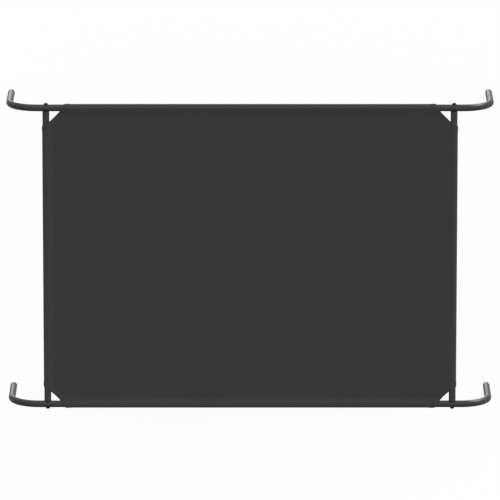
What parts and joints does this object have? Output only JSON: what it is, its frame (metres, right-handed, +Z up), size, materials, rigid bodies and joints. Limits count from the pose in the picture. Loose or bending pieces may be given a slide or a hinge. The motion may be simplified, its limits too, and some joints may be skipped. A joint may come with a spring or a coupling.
{
  "type": "elevated dog bed",
  "caption": "Elevated dog bed: a taut fabric panel with sleeves round a tube frame, whose side rails bend down into legs and are bolted to cross tubes.",
  "frame": {"origin": "on the floor, under the middle of the bed", "axes": "+X along the bed, +Y across it to the back, +Z up"},
  "size_m": [1.199, 0.7718, 0.2019],
  "materials": {
    "fabric": "plain woven, matt",
    "binding": "woven hem, matt",
    "frame": "satin powder coat",
    "bolt": "black, satin",
    "insert": "zinc plated",
    "foot": "moulded, matt"
  },
  "bodies": {
    "root": {"bed_panel": "fabric", "sleeve_front": "fabric", "sleeve_back": "fabric", "sleeve_left": "fabric", "sleeve_right": "fabric", "corner_binding_front_left": "binding", "corner_binding_front_right": "binding", "corner_binding_back_left": "binding", "corner_binding_back_right": "binding", "rail_front_left": "frame", "rail_front_right": "frame", "rail_back_left": "frame", "rail_back_right": "frame", "cross_tube_left": "frame", "cross_tube_right": "frame", "corner_bolt_front_left": "bolt", "corner_bolt_front_right": "bolt", "corner_bolt_back_left": "bolt", "corner_bolt_back_right": "bolt", "thread_insert_front_left": "insert", "thread_insert_front_right": "insert", "thread_insert_back_left": "insert", "thread_insert_back_right": "insert", "foot_plug_front_left": "foot", "foot_plug_front_right": "foot", "foot_plug_back_left": "foot", "foot_plug_back_right": "foot"}
  },
  "joints": []
}
